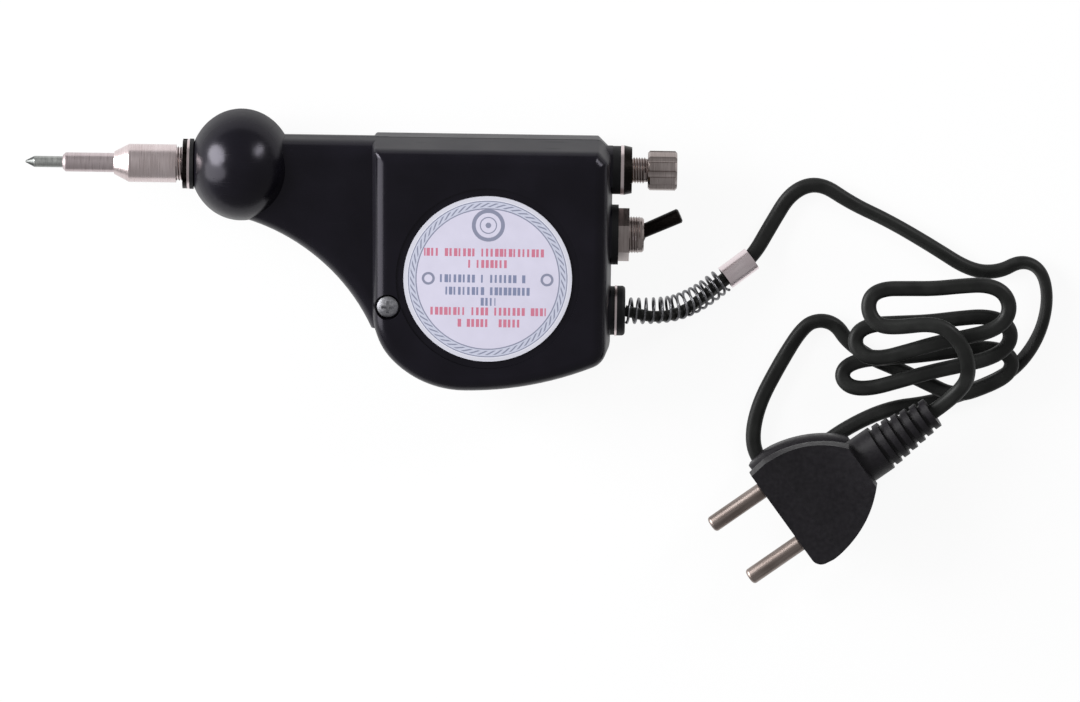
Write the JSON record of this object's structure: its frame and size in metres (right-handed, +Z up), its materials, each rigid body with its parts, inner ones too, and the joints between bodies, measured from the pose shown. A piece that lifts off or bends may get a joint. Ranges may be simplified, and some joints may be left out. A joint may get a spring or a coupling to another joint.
{
  "type": "electric engraver",
  "caption": "Hand-held electric engraving pen with a round nose, flat rounded body, stroke adjusting knob, toggle switch and corded two-pin plug.",
  "frame": {"origin": "centre of the tool's bounding box in plan, without its cord and plug, at the table that it lies on", "axes": "+X from the needle's tip to the adjusting knob, +Y towards the tool's top edge, +Z up out of its front face"},
  "size_m": [0.2958, 0.137, 0.0321],
  "materials": {
    "housing": "satin black moulded plastic",
    "nickel": "nickel plated",
    "steel": "turned steel",
    "black_rubber": "matt",
    "carbide": "ground",
    "core_steel": "stacked plates",
    "copper": "enamelled copper wire",
    "bobbin_plastic": "moulded",
    "phenolic": "moulded",
    "brass": "turned",
    "bronze": "sintered bearing",
    "spring_steel": "drawn wire",
    "label": "printed plate",
    "cord": "pvc sheath",
    "wire_plastic": "insulated wire",
    "gunmetal": "black plated"
  },
  "bodies": {
    "housing": {"adjuster_bush": "brass", "adjuster_gasket": "black_rubber", "adjuster_nut": "gunmetal", "adjuster_washer": "nickel", "bobbin": "bobbin_plastic", "clamp_screws": "steel", "coil_winding": "copper", "cord_clamp": "steel", "cord_hank": "cord", "cord_inner": "cord", "cord_lead": "cord", "cord_tail": "cord", "core_screws": "steel", "core_stack": "core_steel", "gland_gasket": "black_rubber", "gland_grommet": "black_rubber", "gland_washer": "nickel", "guard_ferrule": "nickel", "guide_bush": "brass", "guide_locknut": "gunmetal", "guide_sleeve": "nickel", "housing_front": "housing", "housing_nuts": "steel", "housing_rear": "housing", "housing_screws": "steel", "label_disc": "label", "lead_wires": "wire_plastic", "nose_ring": "black_rubber", "nose_washer": "nickel", "plug_body": "black_rubber", "plug_pins": "nickel", "return_spring": "spring_steel", "spring_guard": "spring_steel", "switch_body": "phenolic", "switch_bush": "nickel", "switch_gasket": "black_rubber", "switch_nut": "nickel", "switch_pin": "steel", "switch_terminals": "brass", "tail_guide": "bronze"},
    "needle_bar": {"needle_bar": "steel", "needle": "carbide", "armature_plate": "core_steel", "armature_nut": "steel"},
    "adjusting_screw": {"adjuster_screw": "nickel"},
    "knob": {"adjuster_knob": "nickel"},
    "lever": {"switch_lever": "gunmetal"}
  },
  "joints": [
    {"name": "needle_slide", "type": "slide", "parent": "housing", "child": "needle_bar", "axis": [1, 0, 0], "range_m": [0, 0.0015], "stiffness_N_per_m": 800, "deforming": ["return_spring"]},
    {"name": "screw_travel", "type": "slide", "parent": "housing", "child": "adjusting_screw", "axis": [1, 0, 0], "range_m": [-0.00075, 0.0015]},
    {"name": "knob_turn", "type": "hinge", "parent": "adjusting_screw", "child": "knob", "pos_m": [0.08369, 0.02375, 0.016], "axis": [1, 0, 0], "range_deg": [-361, 721]},
    {"name": "lever_toggle", "type": "hinge", "parent": "housing", "child": "lever", "pos_m": [0.08029, 0.00495, 0.016], "axis": [0, 0, 1], "range_deg": [-49, 0]}
  ],
  "couplings": [
    {"joint": "knob_turn", "follows": "screw_travel", "rad_per_m": 8377.6}
  ]
}
